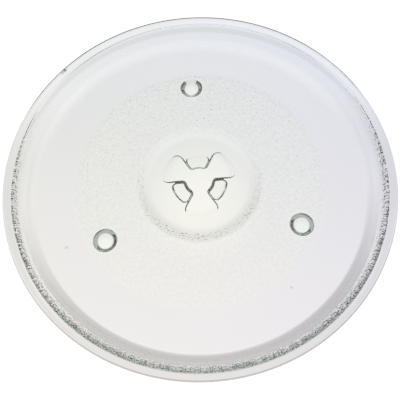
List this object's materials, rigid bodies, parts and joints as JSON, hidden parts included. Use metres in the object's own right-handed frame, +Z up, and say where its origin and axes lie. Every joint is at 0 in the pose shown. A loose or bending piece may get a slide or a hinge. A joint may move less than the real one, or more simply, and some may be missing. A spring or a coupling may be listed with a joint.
{
  "type": "microwave turntable plate",
  "caption": "Round clear glass dish with a sloping wall and a flat flange round its rim, three small feet below and a three-lobed drive recess with lugs under its middle, for turning food in a microwave oven.",
  "frame": {"origin": "on the plate's axis, in the plane of the three foot ends that it stands on", "axes": "+Z up along the plate's axis to the open side of the dish; one foot and one drive lug lie towards +Y"},
  "size_m": [0.27, 0.27, 0.0206],
  "materials": {
    "glass": "clear pressed soda-lime glass, polished on top, with a pebbled underside"
  },
  "bodies": {
    "root": {"turntable_plate": "glass"}
  },
  "joints": []
}
